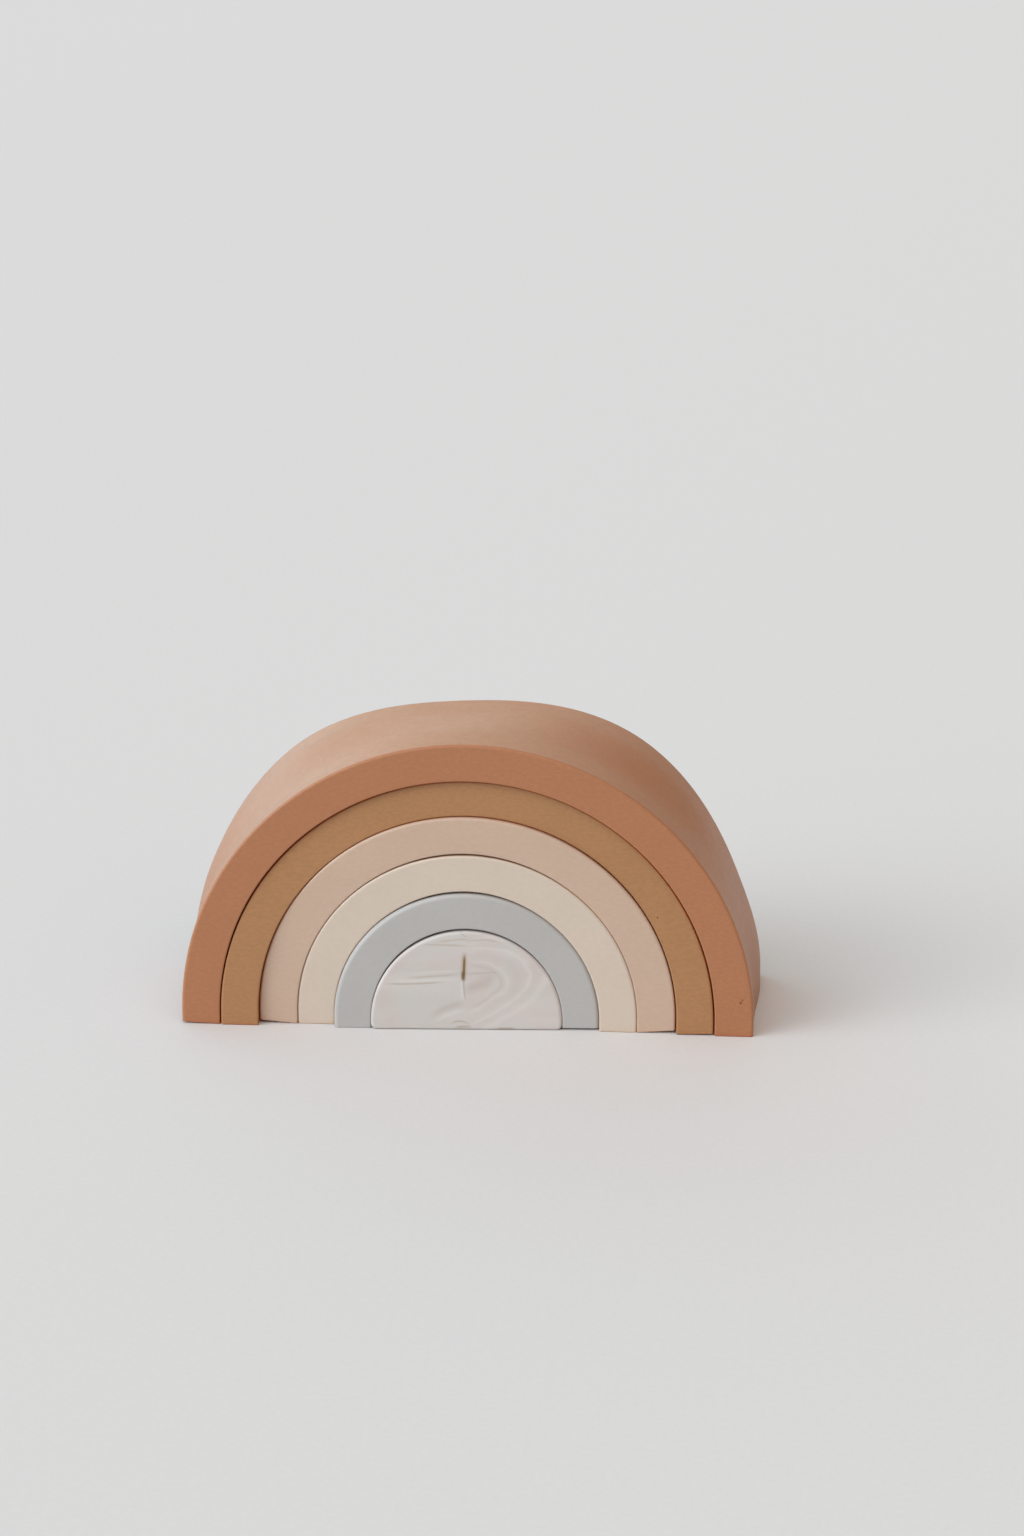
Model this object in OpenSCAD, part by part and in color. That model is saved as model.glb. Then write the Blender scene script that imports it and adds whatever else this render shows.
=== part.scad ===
// Rainbow stacker: five moulded silicone arches, nested one over the other on a half-disc core.
// The origin is on the floor under the middle of the nest. +X runs across the rainbow,
// +Y runs along the tunnels from the front faces to the back faces, and +Z is up.

/* [Core] */
// Radius of the half-disc core
core_r = 24; // [16:0.5:36]

/* [Arch walls] */
// Wall of the grey arch, which covers the core
grey_wall = 9; // [5:0.1:14]
// Wall of the cream arch
cream_wall = 9.1; // [5:0.1:14]
// Wall of the blush arch
blush_wall = 9.4; // [5:0.1:14]
// Wall of the ochre arch
ochre_wall = 9.3; // [5:0.1:14]
// Wall of the terracotta arch, the outermost
terracotta_wall = 9.7; // [5:0.1:14]

/* [Nest] */
// Length of every piece, from its front face to its back face
depth = 45; // [30:1:70]
// Height of the upright legs under the arcs
leg_rise = 2.8; // [1.5:0.1:12]
// Clearance between a piece and the one that it covers
nest_gap = 0.4; // [0.2:0.05:1]
// Most that the soft terracotta arch bulges out at its back, at the left shoulder
slump = 2.8; // [0:0.1:4]

/* [Edges] */
// Rounding along the front and back edges of the outer four arches
edge_r = 0.7; // [0.3:0.1:2]
// Rounding along the front and back edges of the grey arch and the core, which are softer
soft_edge_r = 1.2; // [0.3:0.1:2]
// Rounding round the soles of the feet
sole_r = 0.5; // [0.2:0.1:1.2]

/* [Hidden] */
$fn = 96;

// How far a cut or a trimming outline reaches past what it cuts or trims
overrun = 1;
// Thickness of the slices that the slumped form is stretched over
slice = 0.01;

// Bulge round the back of the terracotta arch: degrees from its right foot, then share of the slump
slump_shares = [[0, 0.57], [21, 0], [56, 0.79], [93, -0.46], [131, 1], [155, 0.86], [180, 0.57]];
// Steps round the slumped form
slump_steps = 60;

// Tunnel radius and outer radius of each arch, from the core outwards
grey_tunnel_r = core_r + nest_gap;
grey_outer_r = grey_tunnel_r + grey_wall;
cream_tunnel_r = grey_outer_r + nest_gap;
cream_outer_r = cream_tunnel_r + cream_wall;
blush_tunnel_r = cream_outer_r + nest_gap;
blush_outer_r = blush_tunnel_r + blush_wall;
ochre_tunnel_r = blush_outer_r + nest_gap;
ochre_outer_r = ochre_tunnel_r + ochre_wall;
terracotta_tunnel_r = ochre_outer_r + nest_gap;
terracotta_outer_r = terracotta_tunnel_r + terracotta_wall;

// Cross-section of a piece between two distances from the middle of the nest, with round corners
module section(low, high, round_r) {
    half = depth / 2;
    translate([low + round_r, -half])
        square([high - low - 2 * round_r, depth]);
    translate([low, round_r - half])
        square([high - low, depth - 2 * round_r]);
    for (x = [low + round_r, high - round_r], y = [round_r - half, half - round_r])
        translate([x, y])
            circle(round_r);
}

// Outline of a leg under the arcs' centre line, between two places, with round lower corners
module leg_outline(low, high) {
    translate([low + sole_r, -leg_rise])
        square([high - low - 2 * sole_r, leg_rise + overrun]);
    translate([low, sole_r - leg_rise])
        square([high - low, leg_rise - sole_r + overrun]);
    for (x = [low + sole_r, high - sole_r])
        translate([x, sole_r - leg_rise])
            circle(sole_r);
}

// Upright leg under the arcs' centre line, with its sole rounded on all four sides
module leg(low, high, round_r) {
    intersection() {
        rotate([180, 0, 0])
            linear_extrude(leg_rise)
                section(low, high, round_r);
        rotate([90, 0, 0])
            linear_extrude(depth, center = true)
                leg_outline(low, high);
        translate([low, 0, 0])
            rotate([90, 0, 90])
                linear_extrude(high - low)
                    leg_outline(-depth / 2, depth / 2);
    }
}

// Half turn of a cross-section about the arcs' centre line
module half_turn() {
    rotate([90, 0, 0])
        rotate_extrude(angle = 180)
            children();
}

// Arch: a half ring on two short legs
module arch(tunnel_r, outer_r, round_r) {
    translate([0, 0, leg_rise]) {
        half_turn()
            section(tunnel_r, outer_r, round_r);
        for (side = [0, 1])
            mirror([side, 0, 0])
                leg(tunnel_r, outer_r, round_r);
    }
}

function eased(share) = share * share * (3 - 2 * share);

// Share of the slump at an angle from the right foot, found from the pair of shares on either side of it
function slump_share(angle, pair = 0) =
    let (before = slump_shares[pair], after = slump_shares[pair + 1])
    angle > after[0]
        ? slump_share(angle, pair + 1)
        : before[1] + (after[1] - before[1]) * eased((angle - before[0]) / (after[0] - before[0]));

// Outline of an arch that is filled to the floor, drawn in by an inset, with part of the slump
module slumped_outline(outer_r, inset, part) {
    angles = [for (step = [0:slump_steps]) 180 * step / slump_steps];
    reach = [for (angle = angles) outer_r - inset + part * slump * slump_share(angle)];
    arc = [for (step = [0:slump_steps]) reach[step] * [cos(angles[step]), sin(angles[step])]];
    polygon([[reach[0], -leg_rise], each arc, [-reach[slump_steps], -leg_rise]]);
}

// Upright slice of the slumped form, with its back at a place along the tunnels
module slumped_slice(outer_r, inset, part, place) {
    translate([0, place, 0])
        rotate([90, 0, 0])
            linear_extrude(slice)
                slumped_outline(outer_r, inset, part);
}

// Filled arch that is true at its front and slumped at its back, with round front and back edges
module slumped_form(outer_r, round_r) {
    half = depth / 2;
    hull()
        for (turn = [0, 45, 90]) {
            inset = round_r * (1 - cos(turn));
            setback = round_r * (1 - sin(turn));
            slumped_slice(outer_r, inset, 0, setback + slice - half);
            slumped_slice(outer_r, inset, 1, half - setback);
        }
}

// Tunnel through an arch, down to the floor
module tunnel(tunnel_r) {
    rotate([90, 0, 0])
        linear_extrude(depth + 2 * overrun, center = true) {
            circle(tunnel_r);
            translate([-tunnel_r, -leg_rise - overrun])
                square([2 * tunnel_r, leg_rise + overrun]);
        }
}

// Arch with a true tunnel and a slumped outside
module slumped_arch(tunnel_r, outer_r, round_r) {
    translate([0, 0, leg_rise])
        difference() {
            slumped_form(outer_r, round_r);
            tunnel(tunnel_r);
        }
}

// Solid half disc on one leg of its full width
module half_disc(disc_r, round_r) {
    translate([0, 0, leg_rise]) {
        half_turn()
            intersection() {
                section(-disc_r, disc_r, round_r);
                translate([0, -depth / 2])
                    square([disc_r, depth]);
            }
        leg(-disc_r, disc_r, round_r);
    }
}

module terracotta_arch() {
    color("#ab7657")
        slumped_arch(terracotta_tunnel_r, terracotta_outer_r, edge_r);
}

module ochre_arch() {
    color("#a87c57")
        arch(ochre_tunnel_r, ochre_outer_r, edge_r);
}

module blush_arch() {
    color("#c2a794")
        arch(blush_tunnel_r, blush_outer_r, edge_r);
}

module cream_arch() {
    color("#cbbbac")
        arch(cream_tunnel_r, cream_outer_r, edge_r);
}

module grey_arch() {
    color("#b0afad")
        arch(grey_tunnel_r, grey_outer_r, soft_edge_r);
}

module marble_core() {
    color("#c8c0bc")
        half_disc(core_r, soft_edge_r);
}

terracotta_arch();
ochre_arch();
blush_arch();
cream_arch();
grey_arch();
marble_core();
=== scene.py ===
import math
from typing import NamedTuple

import bmesh
import bpy
import numpy as np
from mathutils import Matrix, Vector


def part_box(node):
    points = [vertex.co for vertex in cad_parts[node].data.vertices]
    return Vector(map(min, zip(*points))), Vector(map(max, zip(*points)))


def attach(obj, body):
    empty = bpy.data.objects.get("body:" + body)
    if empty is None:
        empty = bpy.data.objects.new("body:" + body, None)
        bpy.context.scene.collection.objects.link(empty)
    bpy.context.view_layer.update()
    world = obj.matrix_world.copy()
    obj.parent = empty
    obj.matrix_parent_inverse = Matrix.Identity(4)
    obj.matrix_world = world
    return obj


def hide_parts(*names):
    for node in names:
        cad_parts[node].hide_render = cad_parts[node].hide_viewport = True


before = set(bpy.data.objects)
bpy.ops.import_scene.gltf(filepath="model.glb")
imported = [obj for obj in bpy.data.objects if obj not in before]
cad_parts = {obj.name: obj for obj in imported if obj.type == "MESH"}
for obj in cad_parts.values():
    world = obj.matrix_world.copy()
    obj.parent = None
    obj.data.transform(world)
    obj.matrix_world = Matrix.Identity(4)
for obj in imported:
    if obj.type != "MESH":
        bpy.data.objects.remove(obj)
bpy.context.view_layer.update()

MM = 0.001

# Nest from the outside in: each arch covers the next one, and the last one covers the core
ARCHES = ["terracotta", "ochre", "blush", "cream", "grey"]
NEST = ARCHES + ["core"]
NODES = {name: f"{name}_arch" for name in ARCHES} | {"core": "marble_core"}
SLOTS = {name: f"{name}_silicone" for name in ARCHES} | {"core": "marbled_silicone"}


class Soft(NamedTuple):
    """How a soft piece differs from its true form."""

    # Rounding along its outer front and back edges
    edge: float
    # How far its outer edge is pushed up at the crown by what it covers
    rise: float = 0.0
    # Whether its outside slumps at the back, as only a piece with nothing round it can
    slumps: bool = False
    # How far it and the tunnel round it fill the clearance between the solids
    swell: float = 0.0
    # How far its crown and its feet stand behind the front of the nest
    crown_back: float = 0.0
    feet_back: float = 0.0
    # How far its right foot stands behind its left foot
    twist: float = 0.0
    # Further clearance over it, the angle from its right foot where that is widest, and how fast it fades
    slack: float = 0.0
    slack_side: float = math.pi / 2
    slack_focus: float = 8.0
    # How far the corners of its soles are off the floor, from the left one to the right one
    lifts: tuple = (0.0, 0.0, 0.0, 0.0)


SOFT = {
    "terracotta": Soft(edge=0.7 * MM, slumps=True, lifts=(0.45 * MM, 0, 0, 0)),
    "ochre": Soft(
        edge=0.5 * MM, rise=0.3 * MM, swell=0.06 * MM,
        crown_back=1.6 * MM, twist=0.6 * MM, lifts=(0, 0, 0.15 * MM, 0.4 * MM),
    ),
    "blush": Soft(
        edge=0.6 * MM, rise=0.6 * MM, swell=0.14 * MM,
        slack=0.14 * MM, slack_side=math.radians(20), slack_focus=2.0,
        crown_back=0.3 * MM, feet_back=1.4 * MM, twist=-0.6 * MM, lifts=(0.8 * MM, 0, 0, 0.8 * MM),
    ),
    "cream": Soft(
        edge=0.6 * MM, rise=0.42 * MM, swell=0.18 * MM, slack=0.45 * MM,
        crown_back=0.3 * MM, feet_back=1.5 * MM, twist=-0.7 * MM,
    ),
    "grey": Soft(
        edge=1.0 * MM, rise=-0.14 * MM, swell=0.18 * MM, slack=0.54 * MM,
        crown_back=0.1 * MM, feet_back=0.8 * MM, twist=2.4 * MM, lifts=(0, 0, 0.5 * MM, 0.5 * MM),
    ),
    "core": Soft(
        edge=0.8 * MM, rise=-0.59 * MM, swell=0.18 * MM,
        slack=0.58 * MM, slack_side=math.radians(95), slack_focus=2.0,
        crown_back=0.1 * MM, feet_back=0.2 * MM, twist=2.3 * MM,
    ),
}

# Slump at the back of the outermost arch: (degrees round the arch from its right foot, push outwards)
SLUMP = [
    (0, 1.6 * MM),
    (21, 0.0 * MM),
    (56, 2.2 * MM),
    (93, -1.3 * MM),
    (131, 2.8 * MM),
    (155, 2.4 * MM),
    (180, 1.6 * MM),
]

# Shares of the depth between which the slump grows
SLUMP_START = 0.2
SLUMP_END = 0.8

# Rounding along the edges of the tunnels and round the soles
TUNNEL_EDGE = 0.35 * MM
SOLE = 0.15 * MM
# Share by which the core's rounding is taken back along the floor
CORE_SOLE = 0.7
# Least rounding, where a section is drawn in at the sole
LEAST_EDGE = 0.02 * MM

# Fineness of the meshes
ARC_STEPS = 180
LEG_STEPS = 3
CORNER_STEPS = 5
DEPTH_STEPS = 26
WALL_STEPS = 5
BASE_STEPS = 24
# Narrow strip next to each rounding, which keeps the flat beside it flat in the shading
SUPPORT = 0.25 * MM


class Size(NamedTuple):
    """Size of a piece's solid."""

    front: float
    back: float
    height: float
    radius: float
    # Height of the arc's centre over the floor
    rise: float
    # Least distance of the solid from the axis of its arc
    tunnel: float


def measure(name):
    """Size of a piece, read from the frame. All arcs have their centre over the floor as the core's has."""
    core_low, core_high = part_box(NODES["core"])
    rise = core_high.z - (core_high.x - core_low.x) / 2
    low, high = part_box(NODES[name])
    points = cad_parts[NODES[name]].data.vertices
    tunnel = min(math.hypot(point.co.x, max(point.co.z - rise, 0)) for point in points)
    return Size(low.y, high.y, high.z, high.z - rise, rise, tunnel)


SIZES = {name: measure(name) for name in NEST}


# Soft shape
def smooth(share):
    share = min(max(share, 0.0), 1.0)
    return share * share * (3 - 2 * share)


def slump(angle):
    """Push outwards at the back of the nest, at an angle in radians from the right foot."""
    degrees = min(max(math.degrees(angle), 0.0), 180.0)
    for (before, first), (after, second) in zip(SLUMP, SLUMP[1:]):
        if degrees <= after:
            return first + (second - first) * smooth((degrees - before) / (after - before))


def push(name, angle, depth_share):
    """How far a soft piece's outer surface stands off its true circle."""
    rise = SOFT[name].rise * math.sin(angle)
    if not SOFT[name].slumps:
        return rise
    return rise + slump(angle) * smooth((depth_share - SLUMP_START) / (SLUMP_END - SLUMP_START))


def slack(name, angle):
    """Further clearance between a soft piece and the tunnel round it."""
    soft = SOFT[name]
    return soft.slack * max(math.cos(angle - soft.slack_side), 0.0) ** soft.slack_focus


def set_back(name, across, height_share):
    """How far a soft piece stands behind the front of the nest."""
    soft = SOFT[name]
    lean = soft.feet_back + (soft.crown_back - soft.feet_back) * height_share
    return lean + soft.twist * across / (2 * SIZES[name].radius)


def run(start, end, steps):
    """Places between two ends, with a narrow strip next to each end."""
    length = abs(end - start)
    shares = [SUPPORT / length + (1 - 2 * SUPPORT / length) * step / steps for step in range(steps + 1)]
    return [start + (end - start) * share for share in shares]


def corner(centre, radius, first_turn):
    """Points of a quarter turn, counted in quarter turns from the first axis."""
    angles = [(first_turn + step / CORNER_STEPS) * math.pi / 2 for step in range(CORNER_STEPS + 1)]
    return [(centre[0] + radius * math.cos(a), centre[1] + radius * math.sin(a)) for a in angles]


def section(low, high, front, back, tunnel_edge, edge):
    """Points (distance from the axis, depth) round the cross-section of an arch."""
    points = corner((low + tunnel_edge, front + tunnel_edge), tunnel_edge, 2)
    points += [(distance, front) for distance in run(low + tunnel_edge, high - edge, WALL_STEPS)]
    points += corner((high - edge, front + edge), edge, 3)
    points += [(high, depth) for depth in run(front + edge, back - edge, DEPTH_STEPS)]
    points += corner((high - edge, back - edge), edge, 0)
    points += [(distance, back) for distance in run(high - edge, low + tunnel_edge, WALL_STEPS)]
    points += corner((low + tunnel_edge, back - tunnel_edge), tunnel_edge, 1)
    points += [(low, depth) for depth in run(back - tunnel_edge, front + tunnel_edge, DEPTH_STEPS)]
    return points


def leg_stations(rise):
    """Places (drop under the arc's centre, inset of the section) from the sole up to the arc."""
    turns = [step / CORNER_STEPS * math.pi / 2 for step in range(CORNER_STEPS + 1)]
    rounding = [(rise - SOLE * (1 - math.cos(turn)), SOLE * (1 - math.sin(turn))) for turn in turns]
    straight = [(drop, 0.0) for drop in run(rise - SOLE, 0.0, LEG_STEPS)[:-1]]
    return rounding + straight


def arch_stations(rise):
    """Places (angle, drop, inset) along an arch from its left sole to its right sole."""
    leg = leg_stations(rise)
    left = [(math.pi, drop, inset) for drop, inset in leg]
    arc = [(math.pi * (1 - step / ARC_STEPS), 0.0, 0.0) for step in range(ARC_STEPS + 1)]
    right = [(0.0, drop, inset) for drop, inset in reversed(leg)]
    return left + arc + right


def add_piece(name, rings):
    """Mesh piece skinned over closed rings of points, with both ends closed."""
    mesh = bpy.data.meshes.new(name)
    build = bmesh.new()
    loops = [[build.verts.new(point) for point in ring] for ring in rings]
    for first, second in zip(loops, loops[1:]):
        for index in range(len(first)):
            following = (index + 1) % len(first)
            build.faces.new((first[index], first[following], second[following], second[index]))
    build.faces.new(loops[0][::-1])
    build.faces.new(loops[-1])
    bmesh.ops.recalc_face_normals(build, faces=build.faces)
    for face in build.faces:
        face.smooth = True
    build.to_mesh(mesh)
    build.free()
    piece = bpy.data.objects.new(f"{name}_piece", mesh)
    bpy.context.scene.collection.objects.link(piece)
    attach(piece, name)
    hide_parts(NODES[name])
    return piece


def arch_piece(name):
    """Soft arch over the next smaller piece of the nest."""
    soft, inside = SOFT[name], NEST[NEST.index(name) + 1]
    front, back, height, radius, rise, tunnel = SIZES[name]
    low = tunnel - SOFT[inside].swell
    high = radius + soft.swell

    def place(angle, drop, distance, depth):
        wall_share = (distance - low) / (high - low)
        depth_share = (depth - front) / (back - front)
        inner_push = push(inside, angle, depth_share) + slack(inside, angle)
        outer_push = push(name, angle, depth_share)
        reach = distance + inner_push + (outer_push - inner_push) * wall_share
        x = reach * math.cos(angle)
        outer_lift, inner_lift = soft.lifts[:2] if x < 0 else soft.lifts[:1:-1]
        lift = inner_lift + (outer_lift - inner_lift) * wall_share
        z = rise + reach * math.sin(angle) - drop + lift * drop / rise
        return x, depth + set_back(name, x, z / height), z

    rings = []
    for angle, drop, inset in arch_stations(rise):
        tunnel_edge, edge = (max(rounding - inset, LEAST_EDGE) for rounding in (TUNNEL_EDGE, soft.edge))
        outline = section(low + inset, high - inset, front + inset, back - inset, tunnel_edge, edge)
        rings.append([place(angle, drop, distance, depth) for distance, depth in outline])
    return add_piece(name, rings)


def core_outline(radius, rise, base_corner, inset):
    """Points (across, up) round the front face of the core, whose lower edge is rounded less."""
    points = [(across, inset) for across in run(-radius + base_corner, radius - base_corner, BASE_STEPS)]
    points += corner((radius - base_corner, base_corner), base_corner - inset, 3)
    for step in range(ARC_STEPS + 1):
        angle = math.pi * step / ARC_STEPS
        reach = radius - inset + push("core", angle, 0.0)
        points.append((reach * math.cos(angle), rise + reach * math.sin(angle)))
    points += corner((base_corner - radius, base_corner), base_corner - inset, 2)
    return [(across, up - CORE_SOLE * inset * max(1 - up / base_corner, 0)) for across, up in points]


def core_piece():
    """Soft half disc, built up from front to back."""
    front, back, height, radius, rise, _ = SIZES["core"]
    edge = SOFT["core"].edge
    base_corner = edge + 2 * SUPPORT
    turns = [step / CORNER_STEPS * math.pi / 2 for step in range(CORNER_STEPS + 1)]
    rounding = [(edge * (1 - math.cos(turn)), edge * (1 - math.sin(turn))) for turn in turns]
    near = [(front + setback, inset) for setback, inset in rounding]
    middle = [(depth, 0.0) for depth in run(front + edge, back - edge, DEPTH_STEPS)]
    far = [(back - setback, inset) for setback, inset in reversed(rounding)]
    stations = [(front, edge + SUPPORT)] + near + middle + far + [(back, edge + SUPPORT)]
    rings = []
    for depth, inset in stations:
        outline = core_outline(radius + SOFT["core"].swell, rise, base_corner, inset)
        rings.append([(across, depth + set_back("core", across, up / height), up) for across, up in outline])
    return add_piece("core", rings)


# Shader helpers
# Most of a cloudy pattern lies between these values
CLOUD_LOW = 0.3
CLOUD_HIGH = 0.7
# Share of the radius of a dot or a mark inside which it has its full colour
DOT_MIDDLE = 0.5
MARK_MIDDLE = 0.3


def add(tree, kind, inputs=None, **settings):
    """Adds a shader node, then sets its inputs or links them to other nodes' outputs."""
    node = tree.nodes.new("ShaderNode" + kind)
    for name, value in settings.items():
        setattr(node, name, value)
    for name, value in (inputs or {}).items():
        if isinstance(value, bpy.types.NodeSocket):
            tree.links.new(value, node.inputs[name])
        else:
            node.inputs[name].default_value = value
    return node


def calc(tree, operation, *values):
    return add(tree, "Math", dict(enumerate(values)), operation=operation).outputs[0]


def fade(tree, value, start, end, low=0.0, high=1.0):
    """Goes smoothly from low to high while the value goes from start to end."""
    inputs = {"Value": value, "From Min": start, "From Max": end, "To Min": low, "To Max": high}
    return add(tree, "MapRange", inputs, interpolation_type="SMOOTHSTEP").outputs["Result"]


def mix(tree, share, first, second):
    """Colour between two others."""
    inputs = {0: share, 6: first, 7: second}
    return add(tree, "Mix", inputs, data_type="RGBA").outputs[2]


def noise(tree, place, size, detail=3.0, roughness=0.5, distortion=0.0):
    """Cloudy pattern with lumps of a size in metres."""
    inputs = {"Vector": place, "Scale": 1 / size, "Detail": detail, "Roughness": roughness}
    return add(tree, "TexNoise", inputs | {"Distortion": distortion}).outputs["Fac"]


def shade(colour, factor):
    return tuple(channel * factor for channel in colour[:3]) + (1.0,)


def shade_by(tree, colour, factor):
    """Shade of a colour that comes from other nodes."""
    return add(tree, "VectorMath", {0: colour, "Scale": factor}, operation="SCALE").outputs[0]


def new_material(name):
    material = bpy.data.materials.new(name)
    material.use_nodes = True
    return material, material.node_tree, material.node_tree.nodes["Principled BSDF"]


def specks(tree, place, spacing, radius, share):
    """Mask of fine dust: small dots in a share of the cells of a loose grid."""
    cells = add(tree, "TexVoronoi", {"Vector": place, "Scale": 1 / spacing})
    dot = fade(tree, cells.outputs["Distance"], radius / spacing, DOT_MIDDLE * radius / spacing)
    chance = add(tree, "SeparateColor", {"Color": cells.outputs["Color"]}).outputs[0]
    return calc(tree, "MULTIPLY", dot, calc(tree, "LESS_THAN", chance, share))


class Mark(NamedTuple):
    """Small mark on a piece, in mm."""

    place: tuple
    radius: float
    colour: tuple


MARKS = {
    "terracotta": [
        Mark((69.6, -22.5, 9.8), 0.4, (0.22, 0.085, 0.04, 1.0)),
        Mark((69.2, -22.5, 9.1), 0.5, (0.17, 0.065, 0.03, 1.0)),
    ],
    "ochre": [
        Mark((48.0, -21.6, 31.0), 0.35, (0.12, 0.055, 0.02, 1.0)),
        Mark((-46.0, -21.4, 46.0), 0.4, (0.52, 0.33, 0.19, 1.0)),
    ],
}


def marked(tree, place, base, name):
    """Colour of a piece with its marks."""
    for mark in MARKS.get(name, []):
        centre = Vector(mark.place) * MM
        off = add(tree, "VectorMath", {0: place, 1: centre}, operation="DISTANCE").outputs["Value"]
        radius = mark.radius * MM
        base = mix(tree, fade(tree, off, radius, MARK_MIDDLE * radius), base, mark.colour)
    return base


SILICONE_IOR = 1.41
# Sizes of the patches of gloss, of the slow waves and of the fine grain of moulded silicone
GLOSS_PATCH = 3 * MM
WAVE = 14 * MM
GRAIN = 0.35 * MM
# How far its roughness varies, and how high its waves and its grain stand
GLOSS_SPREAD = 0.02
BUMP_HEIGHT = 0.012 * MM


def finish_silicone(tree, shader, place, colour, roughness):
    """Moulded silicone: soft uneven gloss, fine grain and slow waves of the surface."""
    patches = noise(tree, place, GLOSS_PATCH, detail=4)
    gloss = fade(tree, patches, CLOUD_LOW, CLOUD_HIGH, roughness - GLOSS_SPREAD, roughness + GLOSS_SPREAD)
    waves = add(tree, "Bump", {"Height": noise(tree, place, WAVE), "Distance": BUMP_HEIGHT}).outputs[0]
    grain_inputs = {"Height": noise(tree, place, GRAIN), "Distance": BUMP_HEIGHT, "Normal": waves}
    grain = add(tree, "Bump", grain_inputs).outputs[0]
    tree.links.new(colour, shader.inputs["Base Color"])
    tree.links.new(gloss, shader.inputs["Roughness"])
    tree.links.new(grain, shader.inputs["Normal"])
    shader.inputs["IOR"].default_value = SILICONE_IOR


COLOURS = {
    "terracotta": (0.405, 0.171, 0.082),
    "ochre": (0.392, 0.196, 0.0865),
    "blush": (0.55, 0.40, 0.305),
    "cream": (0.61, 0.515, 0.43),
    "grey": (0.45, 0.44, 0.43),
}
# How far the pigment of each arch is mottled
MOTTLES = {"terracotta": 0.04, "ochre": 0.05, "blush": 0.02, "cream": 0.015, "grey": 0.015}

# How far off another piece still narrows the view of a place, and how far the painted shade in a gap is
# saturated
GAP_SHADE_REACH = 3 * MM
GAP_SHADE_DEPTH = 1.3
# How open a place is at the outer and at the inner end of a gap's mouth, where the shade is painted, with a
# fade at both
MOUTH_OUTSIDE = (0.6, 0.35)
MOUTH_INSIDE = (0.02, 0.12)


def painted_gap_shade(tree, base, colour):
    """Colour with painted shade in the mouths of the gaps: an occlusion mask makes it darker and warmer
    there, standing in for the shade and for the light that comes through the soft silicone.
    """
    opening = add(tree, "AmbientOcclusion", {"Distance": GAP_SHADE_REACH}, samples=8).outputs["AO"]
    painted_shade = calc(tree, "MULTIPLY", fade(tree, opening, *MOUTH_OUTSIDE), fade(tree, opening, *MOUTH_INSIDE))
    most = max(colour)
    shade_colour = tuple(channel * (channel / most) ** GAP_SHADE_DEPTH for channel in colour) + (1.0,)
    return mix(tree, painted_shade, base, shade_colour)


ARCH_ROUGHNESS = 0.42
# Sizes of the clouds and of the specks of pigment, which are drawn out level, and how far the clouds vary
CLOUD = 18 * MM
PIGMENT = 0.7 * MM
PIGMENT_DRAW = (0.5, 0.5, 1.0)
CLOUD_SPREAD = 0.012
# Dust: space between the dots, their radius, and the share of the spaces that hold one
DARK_DUST = (9 * MM, 0.16 * MM, 0.12)
PALE_DUST = (7 * MM, 0.14 * MM, 0.10)
DARK_DUST_SHADE = 0.55
PALE_DUST_COLOUR = (0.75, 0.72, 0.68, 1.0)


def silicone(name):
    """Pigmented silicone with fine mottling, a little dust and its marks, and painted shade in the mouths of
    the gaps.
    """
    material, tree, shader = new_material(SLOTS[name])
    place = add(tree, "TexCoord").outputs["Object"]
    colour, mottle = COLOURS[name], MOTTLES[name]
    clouds = fade(tree, noise(tree, place, CLOUD, detail=4), CLOUD_LOW, CLOUD_HIGH)
    base = mix(tree, clouds, shade(colour, 1 - CLOUD_SPREAD), shade(colour, 1 + CLOUD_SPREAD))
    drawn = add(tree, "VectorMath", {0: place, 1: PIGMENT_DRAW}, operation="MULTIPLY").outputs[0]
    pigment = noise(tree, drawn, PIGMENT, detail=3, roughness=0.6)
    base = shade_by(tree, base, fade(tree, pigment, 0.35, 0.65, 1 - mottle, 1 + mottle))
    base = mix(tree, specks(tree, place, *DARK_DUST), base, shade(colour, DARK_DUST_SHADE))
    base = mix(tree, specks(tree, place, *PALE_DUST), base, PALE_DUST_COLOUR)
    # Painted shade: a darker, warmer colour in the mouths of the gaps between pieces, from an occlusion mask
    base = painted_gap_shade(tree, marked(tree, place, base, name), colour)
    finish_silicone(tree, shader, place, base, ARCH_ROUGHNESS)
    return material


class Vein(NamedTuple):
    """Vein in the marbling, in mm on the front of the core."""

    # Three places (across, up) that it runs through
    places: tuple
    # Half of its width
    width: float
    # Share of its own colour along its middle
    strength: float
    colour: tuple


BROWN = (0.16, 0.09, 0.035, 1.0)
OCHRE = (0.42, 0.30, 0.17, 1.0)
TAN = (0.40, 0.32, 0.25, 1.0)
ROSE = (0.50, 0.43, 0.415, 1.0)
PALE = (0.69, 0.655, 0.64, 1.0)

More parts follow.
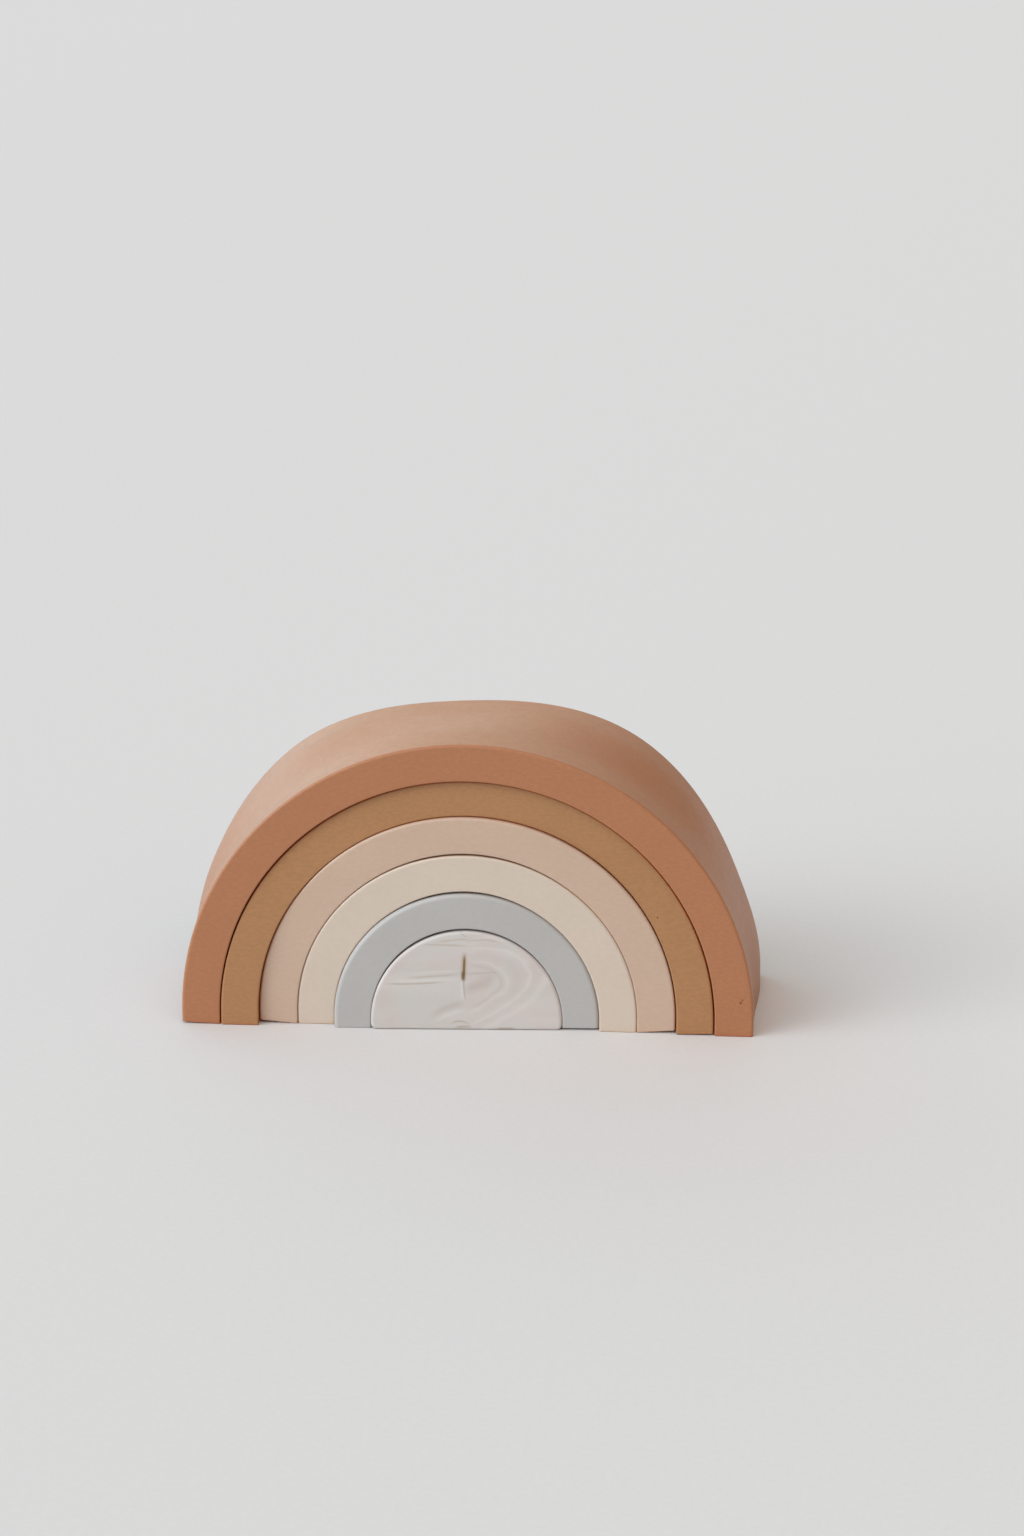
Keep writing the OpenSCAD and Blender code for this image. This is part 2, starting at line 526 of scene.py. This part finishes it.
VEINS = [
    # Level ones at the left and the right of the dash
    Vein(((-17.0, 13.9), (-8.3, 14.4), (0.2, 15.4)), 0.5, 0.42, TAN),
    Vein(((-16.0, 15.0), (-8.0, 15.5), (0.0, 16.3)), 0.4, 0.5, PALE),
    Vein(((-22.5, 12.3), (-15.5, 12.3), (-4.0, 13.0)), 0.45, 0.58, TAN),
    Vein(((-20.0, 13.1), (-10.0, 13.3), (0.0, 14.2)), 0.6, 0.45, PALE),
    Vein(((-1.5, 15.1), (3.5, 15.4), (9.0, 15.7)), 0.6, 0.32, TAN),
    # Crown
    Vein(((-13.0, 22.7), (-4.6, 22.8), (2.0, 22.3)), 0.45, 0.45, TAN),
    Vein(((-9.0, 23.3), (-3.0, 24.2), (3.0, 24.2)), 0.45, 0.4, TAN),
    Vein(((-1.0, 23.3), (4.0, 24.2), (10.0, 22.9)), 0.45, 0.4, TAN),
    Vein(((-2.0, 26.2), (-0.9, 25.6), (0.2, 24.9)), 0.3, 0.5, TAN),
    # Rose band and pale band below the dash, and the brown arc under them
    Vein(((-10.0, 3.0), (-4.7, 6.0), (0.6, 7.1)), 1.6, 0.7, ROSE),
    Vein(((-9.0, 1.6), (-4.0, 4.2), (0.6, 5.3)), 1.0, 0.5, PALE),
    Vein(((-4.6, 1.2), (-1.4, 2.3), (1.4, 0.9)), 0.4, 0.65, TAN),
    Vein(((-3.4, 0.4), (-0.8, 0.8), (2.0, 0.5)), 0.6, 0.65, TAN),
    Vein(((6.8, 0.2), (9.8, 0.4), (13.0, 0.2)), 0.5, 0.8, TAN),
    # Shade at the right of the line that runs down from the dash
    Vein(((-1.6, 10.6), (3.0, 12.2), (8.4, 14.6)), 2.6, 0.33, TAN),
    # Upright dash with its halo and its blot, and the line below it
    Vein(((-0.3, 21.6), (-0.45, 17.0), (-0.6, 12.6)), 1.1, 0.8, OCHRE),
    Vein(((-0.25, 20.9), (-0.42, 17.0), (-0.6, 12.8)), 0.5, 1.0, BROWN),
    Vein(((-0.6, 16.4), (-0.7, 14.6), (-0.6, 12.8)), 0.8, 0.9, BROWN),
    Vein(((-0.6, 14.6), (-0.5, 11.0), (-0.2, 7.4)), 0.4, 0.6, TAN),
    Vein(((-1.2, 14.4), (-1.1, 11.0), (-0.9, 7.0)), 0.6, 0.6, PALE),
]


class Ring(NamedTuple):
    """Ring of the marbling at the right of the core, in mm."""

    # Half of its length
    reach: float
    # Half of its width
    width: float
    # Share of its own colour along its middle
    strength: float
    colour: tuple


# The rings lie about a place (across, inwards, up), long along a slope and flat across it
RING_CENTRE = (-2.2, 0.0, 10.6)
RING_SLOPE = math.radians(21)
RING_FLATNESS = 1.9

RINGS = [
    Ring(11.4, 1.0, 0.2, TAN),
    Ring(13.2, 0.8, 0.3, PALE),
    Ring(15.9, 2.2, 0.2, ROSE),
    Ring(18.7, 0.9, 0.38, PALE),
    Ring(20.4, 1.2, 0.12, ROSE),
    Ring(23.5, 2.0, 0.35, PALE),
]

# Share of a vein's length over which each of its ends thins out
VEIN_TAPER = 1 / 3
# The rings fade in between these places across the core, in mm
RINGS_START = -1.0
RINGS_FULL = 4.0
# Size of the lumps that make the rings waver, and how far they do, in mm
WAVER_LUMP = 9 * MM
WAVER = 5.0
# Depths behind the front of the core between which the marbling is stirred, and how far, in mm
STIR_START = 2 * MM
STIR_END = 14 * MM
STIR_FRONT = 0.6
STIR_BACK = 12.0
STIR_LUMP = 11 * MM

CORE_ROUGHNESS = 0.45
# Two tints of the off-white, which lie in clouds, and the pale streaks in it, drawn out level
GREY_WHITE = (0.572, 0.548, 0.525, 1.0)
ROSE_WHITE = (0.58, 0.522, 0.503, 1.0)
CORE_CLOUD = 13 * MM
STREAK_DRAW = (0.02, 0.05, 0.16)
STREAK_STRENGTH = 0.35


def vein_mask(tree, across, up, vein):
    """Mask along a smooth curve through the vein's places, which thins out at both ends."""
    places = np.array(vein.places)
    level = np.ptp(places[:, 0]) > np.ptp(places[:, 1])
    along, aside = (across, up) if level else (up, across)
    along_places, aside_places = places.T if level else places.T[::-1]
    bend, slope, start = (float(factor) for factor in np.polyfit(along_places, aside_places, 2))
    middle = calc(tree, "MULTIPLY_ADD", calc(tree, "MULTIPLY_ADD", along, bend, slope), along, start)
    off = calc(tree, "ABSOLUTE", calc(tree, "SUBTRACT", aside, middle))
    first, last = min(along_places), max(along_places)
    taper = VEIN_TAPER * (last - first)
    body = fade(tree, off, vein.width, 0.0, 0.0, vein.strength)
    body = calc(tree, "MULTIPLY", body, fade(tree, along, first, first + taper))
    return calc(tree, "MULTIPLY", body, fade(tree, along, last, last - taper))


def stirred(tree, place):
    """Place in the marbling in mm: nearly true on the front of the core, and stirred further in."""
    depth = add(tree, "SeparateXYZ", {0: place}).outputs[1]
    front = SIZES["core"].front
    reach = fade(tree, depth, front + STIR_START, front + STIR_END, STIR_FRONT, STIR_BACK)
    lumps = add(tree, "TexNoise", {"Vector": place, "Scale": 1 / STIR_LUMP, "Detail": 2.0}).outputs["Color"]
    turn = add(tree, "VectorMath", {0: lumps, 1: (0.5, 0.5, 0.5)}, operation="SUBTRACT").outputs[0]
    turn = add(tree, "VectorMath", {0: turn, "Scale": reach}, operation="SCALE").outputs[0]
    mm = add(tree, "VectorMath", {0: place, "Scale": 1 / MM}, operation="SCALE").outputs[0]
    return add(tree, "VectorMath", {0: mm, 1: turn}, operation="ADD").outputs[0]


def ring_reach(tree, spot):
    """Half of the length of the ring that a place lies on."""
    off = add(tree, "VectorMath", {0: spot, 1: RING_CENTRE}, operation="SUBTRACT").outputs[0]
    long_way = (math.cos(RING_SLOPE), 0.0, math.sin(RING_SLOPE))
    flat_way = (-RING_FLATNESS * math.sin(RING_SLOPE), 0.0, RING_FLATNESS * math.cos(RING_SLOPE))
    squares = []
    for way in (long_way, flat_way):
        part = add(tree, "VectorMath", {0: off, 1: way}, operation="DOT_PRODUCT").outputs["Value"]
        squares.append(calc(tree, "MULTIPLY", part, part))
    return calc(tree, "SQRT", calc(tree, "ADD", *squares))


def marble():
    """Marbled off-white silicone: rose and grey clouds, pale bands at the right, and thin brown veins."""
    material, tree, shader = new_material(SLOTS["core"])
    place = add(tree, "TexCoord").outputs["Object"]
    spot = stirred(tree, place)
    across, _, up = add(tree, "SeparateXYZ", {0: spot}).outputs
    clouds = noise(tree, place, CORE_CLOUD, detail=3, distortion=1.2)
    base = mix(tree, fade(tree, clouds, 0.35, 0.65), GREY_WHITE, ROSE_WHITE)
    drawn = add(tree, "VectorMath", {0: spot, 1: STREAK_DRAW}, operation="MULTIPLY").outputs[0]
    streaks = fade(tree, noise(tree, drawn, 1.0), 0.4, 0.75, 0.0, STREAK_STRENGTH)
    base = mix(tree, streaks, base, PALE)
    waver = calc(tree, "SUBTRACT", noise(tree, place, WAVER_LUMP), 0.5)
    reach = calc(tree, "MULTIPLY_ADD", waver, WAVER, ring_reach(tree, spot))
    right_half = fade(tree, across, RINGS_START, RINGS_FULL)
    for ring in RINGS:
        off = calc(tree, "ABSOLUTE", calc(tree, "SUBTRACT", reach, ring.reach))
        mask = calc(tree, "MULTIPLY", fade(tree, off, ring.width, 0.0, 0.0, ring.strength), right_half)
        base = mix(tree, mask, base, ring.colour)
    for vein in VEINS:
        base = mix(tree, vein_mask(tree, across, up, vein), base, vein.colour)
    finish_silicone(tree, shader, place, base, CORE_ROUGHNESS)
    return material


# Stage
class Glow(NamedTuple):
    """Soft light of the room."""

    # Direction to it from the object
    towards: tuple
    # Its colour, as bright as it is in that direction
    colour: tuple
    # How fast it fades away from that direction
    focus: float


# Cool daylight from a window at the left and from the wall behind it, and weaker, warmer light of the room
GLOWS = [
    Glow((-0.85, -0.40, 0.35), (5.20, 5.85, 5.90), 14.0),
    Glow((-0.60, -0.55, 0.60), (1.84, 1.98, 2.28), 14.0),
    Glow((-0.75, 0.65, 0.15), (1.43, 2.32, 2.65), 10.0),
    Glow((-0.20, 0.97, 0.15), (1.10, 1.23, 1.05), 10.0),
    Glow((0.15, 0.95, 0.30), (0.45, 0.40, 0.36), 10.0),
    Glow((0.25, -0.65, 0.70), (1.42, 1.22, 1.08), 8.0),
    Glow((1.0, 0.0, 0.25), (0.45, 0.34, 0.05), 3.0),
    Glow((0.0, 0.0, 1.0), (0.72, 0.71, 0.80), 3.0),
]

BACKDROP_COLOUR = (0.70, 0.69, 0.69, 1.0)
FLOOR_COLOUR = (0.672, 0.655, 0.650)
FLOOR_GRAIN = 1.5 * MM
FLOOR_GRAIN_SPREAD = 0.01
FLOOR_SIZE = 12
# How far the floor lies under the soles
FLOOR_DROP = 0.05 * MM


def add_floor():
    """Wide pale floor."""
    bpy.ops.mesh.primitive_plane_add(size=FLOOR_SIZE, location=(0, 0, -FLOOR_DROP))
    floor = bpy.context.object
    floor.name = "floor"
    material, tree, shader = new_material("floor")
    place = add(tree, "TexCoord").outputs["Object"]
    grain = fade(tree, noise(tree, place, FLOOR_GRAIN), CLOUD_LOW, CLOUD_HIGH)
    dark, light = (shade(FLOOR_COLOUR, 1 + side * FLOOR_GRAIN_SPREAD) for side in (-1, 1))
    base = mix(tree, grain, dark, light)
    tree.links.new(base, shader.inputs["Base Color"])
    shader.inputs["Roughness"].default_value = 0.9
    shader.inputs["Specular IOR Level"].default_value = 0.2
    floor.data.materials.append(material)


def add_camera():
    """Long lens, a little to the right of the middle and looking down."""
    pitch, yaw, distance = math.radians(17.318), math.radians(3.855), 0.9201
    aim = Vector((10.09, 0, 62.69)) * MM
    level = math.cos(pitch)
    backwards = Vector((math.sin(yaw) * level, -math.cos(yaw) * level, math.sin(pitch)))
    camera = bpy.data.objects.new("camera", bpy.data.cameras.new("camera"))
    camera.data.sensor_fit = "VERTICAL"
    camera.data.sensor_height = 36
    camera.data.lens = 85
    camera.location = aim + backwards * distance
    camera.rotation_euler = backwards.to_track_quat("Z", "Y").to_euler()
    bpy.context.scene.collection.objects.link(camera)
    bpy.context.scene.camera = camera


def add_lights():
    """Room with soft lights, which the camera itself sees as an even pale backdrop."""
    world = bpy.data.worlds.new("room")
    bpy.context.scene.world = world
    world.use_nodes = True
    tree = world.node_tree
    tree.nodes.clear()
    direction = add(tree, "TexCoord").outputs["Generated"]
    light = (0.0, 0.0, 0.0)
    for glow in GLOWS:
        centre = Vector(glow.towards).normalized()
        towards = add(tree, "VectorMath", {0: direction, 1: centre}, operation="DOT_PRODUCT")
        spread = calc(tree, "POWER", calc(tree, "MAXIMUM", towards.outputs["Value"], 0.0), glow.focus)
        sum_inputs = {0: spread, 1: glow.colour, 2: light}
        light = add(tree, "VectorMath", sum_inputs, operation="MULTIPLY_ADD").outputs[0]
    room = add(tree, "Background", {"Color": light})
    backdrop = add(tree, "Background", {"Color": BACKDROP_COLOUR})
    seen = add(tree, "LightPath").outputs["Is Camera Ray"]
    both = add(tree, "MixShader", {0: seen, 1: room.outputs[0], 2: backdrop.outputs[0]})
    add(tree, "OutputWorld", {"Surface": both.outputs[0]})


for arch_name in ARCHES:
    arch_piece(arch_name).data.materials.append(silicone(arch_name))
core_piece().data.materials.append(marble())
add_floor()
add_camera()
add_lights()
bpy.context.scene.view_settings.view_transform = "Standard"
